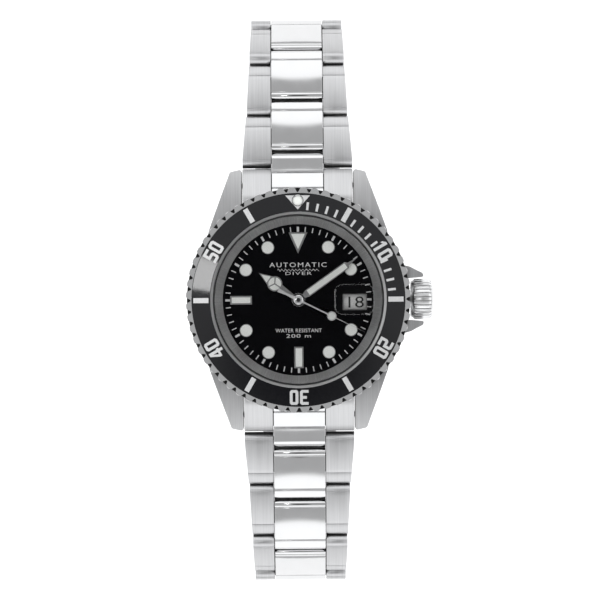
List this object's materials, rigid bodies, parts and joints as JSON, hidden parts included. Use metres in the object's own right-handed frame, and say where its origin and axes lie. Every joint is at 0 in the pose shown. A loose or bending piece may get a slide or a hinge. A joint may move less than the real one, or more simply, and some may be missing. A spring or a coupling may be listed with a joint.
{
  "type": "dive watch",
  "caption": "Steel dive watch: turning coin-edge bezel with a black minute scale, black dial with hands and date lens, crown, and a closed link bracelet with a folding clasp.",
  "frame": {"origin": "centre of the case back's flat outer face", "axes": "+Z out through the dial, +Y to 12 o'clock along the bracelet, +X to the crown at 3 o'clock"},
  "size_m": [0.0442, 0.1032, 0.0379],
  "materials": {
    "brushed_steel": "brushed satin",
    "polished_steel": "mirror polished",
    "spring_steel": "plain drawn",
    "brass": "gilt, grained",
    "rhodium": "rhodium plated",
    "bezel_insert": "glossy black ceramic, white marks",
    "dial_black": "gloss black lacquer, white marks",
    "sapphire": "clear, polished",
    "lume": "matt luminous compound",
    "date_white": "matt white print base",
    "rubber": "matt",
    "nylon": "satin"
  },
  "bodies": {
    "case": {"mid_case": "brushed_steel", "case_back": "brushed_steel", "case_back_gasket": "rubber", "crystal": "sapphire", "crystal_gasket": "nylon", "cyclops_lens": "sapphire", "inner_ring": "brushed_steel", "crown_tube": "brushed_steel", "end_link_12": "brushed_steel", "end_link_6": "brushed_steel", "spring_bar_12": "spring_steel", "spring_bar_6": "spring_steel", "dial": "dial_black", "main_plate": "brass", "movement_bridge": "rhodium", "mainspring_barrel": "brass", "bezel_click_spring": "spring_steel"},
    "bezel": {"rotating_bezel": "polished_steel", "bezel_insert": "bezel_insert", "bezel_pearl": "lume"},
    "stem": {"winding_stem": "spring_steel"},
    "crown": {"crown": "polished_steel"},
    "hour_hand": {"hour_hand": "polished_steel"},
    "minute_hand": {"minute_hand": "polished_steel"},
    "seconds_hand": {"seconds_hand": "polished_steel"},
    "date_disc": {"date_disc": "date_white"},
    "rotor": {"rotor": "rhodium"},
    "balance": {"balance_wheel": "brass"},
    "link_12_1": {"link_12_1": "brushed_steel", "link_pin_12_1": "spring_steel"},
    "link_12_2": {"link_12_2": "brushed_steel", "link_pin_12_2": "spring_steel"},
    "link_12_3": {"link_12_3": "brushed_steel", "link_pin_12_3": "spring_steel"},
    "link_12_4": {"link_12_4": "brushed_steel", "link_pin_12_4": "spring_steel"},
    "link_12_5": {"link_12_5": "brushed_steel", "link_pin_12_5": "spring_steel"},
    "link_12_6": {"link_12_6": "brushed_steel", "link_pin_12_6": "spring_steel"},
    "link_12_7": {"link_12_7": "brushed_steel", "link_pin_12_7": "spring_steel"},
    "link_6_1": {"link_6_1": "brushed_steel", "link_pin_6_1": "spring_steel"},
    "link_6_2": {"link_6_2": "brushed_steel", "link_pin_6_2": "spring_steel"},
    "link_6_3": {"link_6_3": "brushed_steel", "link_pin_6_3": "spring_steel"},
    "link_6_4": {"link_6_4": "brushed_steel", "link_pin_6_4": "spring_steel"},
    "link_6_5": {"link_6_5": "brushed_steel", "link_pin_6_5": "spring_steel"},
    "link_6_6": {"link_6_6": "brushed_steel", "link_pin_6_6": "spring_steel", "clasp_end_pin": "spring_steel"},
    "clasp_cover": {"clasp_cover": "brushed_steel", "clasp_spring_bar": "spring_steel"},
    "outer_blade": {"clasp_outer_blade": "brushed_steel"},
    "inner_blade": {"clasp_inner_blade": "brushed_steel"},
    "safety_catch": {"safety_catch": "polished_steel"}
  },
  "joints": [
    {"name": "bezel_turn", "type": "hinge", "parent": "case", "child": "bezel", "pos_m": [0, 0, 0.0083], "axis": [0, 0, 1], "continuous": true},
    {"name": "crown_pull", "type": "slide", "parent": "case", "child": "stem", "axis": [1, 0, 0], "range_m": [0, 0.0014]},
    {"name": "crown_turn", "type": "hinge", "parent": "stem", "child": "crown", "pos_m": [0.0201, 0, 0.0048], "axis": [1, 0, 0], "continuous": true},
    {"name": "seconds_turn", "type": "hinge", "parent": "case", "child": "seconds_hand", "pos_m": [0, 0, 0.00869], "axis": [0, 0, -1], "continuous": true},
    {"name": "minute_turn", "type": "hinge", "parent": "case", "child": "minute_hand", "pos_m": [0, 0, 0.00832], "axis": [0, 0, -1], "continuous": true},
    {"name": "hour_turn", "type": "hinge", "parent": "case", "child": "hour_hand", "pos_m": [0, 0, 0.00795], "axis": [0, 0, -1], "continuous": true},
    {"name": "date_turn", "type": "hinge", "parent": "case", "child": "date_disc", "pos_m": [0, 0, 0.0067], "axis": [0, 0, -1], "continuous": true},
    {"name": "rotor_turn", "type": "hinge", "parent": "case", "child": "rotor", "pos_m": [0, 0, 0.00155], "axis": [0, 0, 1], "continuous": true},
    {"name": "balance_swing", "type": "hinge", "parent": "case", "child": "balance", "pos_m": [-0.00636, -0.00636, 0.0031], "axis": [0, 0, 1], "range_deg": [-270, 270]},
    {"name": "hinge_12_1", "type": "hinge", "parent": "case", "child": "link_12_1", "pos_m": [0, 0.0251, 0.0036], "axis": [1, 0, 0], "range_deg": [0, 18]},
    {"name": "hinge_12_2", "type": "hinge", "parent": "link_12_1", "child": "link_12_2", "pos_m": [0, 0.0345, 0.00143], "axis": [1, 0, 0], "range_deg": [0, 6]},
    {"name": "hinge_12_3", "type": "hinge", "parent": "link_12_2", "child": "link_12_3", "pos_m": [0, 0.04387, -0.00091], "axis": [1, 0, 0], "range_deg": [0, 40]},
    {"name": "hinge_12_4", "type": "hinge", "parent": "link_12_3", "child": "link_12_4", "pos_m": [0, 0.0502, -0.00819], "axis": [1, 0, 0], "range_deg": [0, 68]},
    {"name": "hinge_12_5", "type": "hinge", "parent": "link_12_4", "child": "link_12_5", "pos_m": [0, 0.04658, -0.01714], "axis": [1, 0, 0], "range_deg": [0, 48]},
    {"name": "hinge_12_6", "type": "hinge", "parent": "link_12_5", "child": "link_12_6", "pos_m": [0, 0.03784, -0.02121], "axis": [1, 0, 0], "range_deg": [0, 25]},
    {"name": "hinge_12_7", "type": "hinge", "parent": "link_12_6", "child": "link_12_7", "pos_m": [0, 0.02822, -0.02205], "axis": [1, 0, 0], "range_deg": [0, 10]},
    {"name": "hinge_6_1", "type": "hinge", "parent": "case", "child": "link_6_1", "pos_m": [0, -0.0251, 0.0036], "axis": [-1, 0, 0], "range_deg": [0, 18]},
    {"name": "hinge_6_2", "type": "hinge", "parent": "link_6_1", "child": "link_6_2", "pos_m": [0, -0.0345, 0.00143], "axis": [-1, 0, 0], "range_deg": [0, 6]},
    {"name": "hinge_6_3", "type": "hinge", "parent": "link_6_2", "child": "link_6_3", "pos_m": [0, -0.04387, -0.00091], "axis": [-1, 0, 0], "range_deg": [0, 40]},
    {"name": "hinge_6_4", "type": "hinge", "parent": "link_6_3", "child": "link_6_4", "pos_m": [0, -0.0502, -0.00819], "axis": [-1, 0, 0], "range_deg": [0, 68]},
    {"name": "hinge_6_5", "type": "hinge", "parent": "link_6_4", "child": "link_6_5", "pos_m": [0, -0.04658, -0.01714], "axis": [-1, 0, 0], "range_deg": [0, 48]},
    {"name": "hinge_6_6", "type": "hinge", "parent": "link_6_5", "child": "link_6_6", "pos_m": [0, -0.03784, -0.02121], "axis": [-1, 0, 0], "range_deg": [0, 25]},
    {"name": "cover_hinge", "type": "hinge", "parent": "link_12_7", "child": "clasp_cover", "pos_m": [0, 0.01857, -0.02205], "axis": [1, 0, 0], "range_deg": [0, 35]},
    {"name": "clasp_unfold", "type": "hinge", "parent": "clasp_cover", "child": "outer_blade", "pos_m": [0, -0.02252, -0.02261], "axis": [1, 0, 0], "range_deg": [0, 30]},
    {"name": "inner_blade_fold", "type": "hinge", "parent": "outer_blade", "child": "inner_blade", "pos_m": [0, 0.01197, -0.02261], "axis": [-1, 0, 0], "range_deg": [0, 30]},
    {"name": "catch_hinge", "type": "hinge", "parent": "clasp_cover", "child": "safety_catch", "pos_m": [0, -0.01502, -0.02497], "axis": [1, 0, 0], "range_deg": [0, 95]}
  ],
  "couplings": [
    {"joint": "minute_turn", "follows": "seconds_turn", "ratio": 0.016667},
    {"joint": "hour_turn", "follows": "seconds_turn", "ratio": 0.0013889},
    {"joint": "date_turn", "follows": "seconds_turn", "ratio": 0.000022401},
    {"joint": "inner_blade_fold", "follows": "clasp_unfold", "ratio": 1}
  ]
}
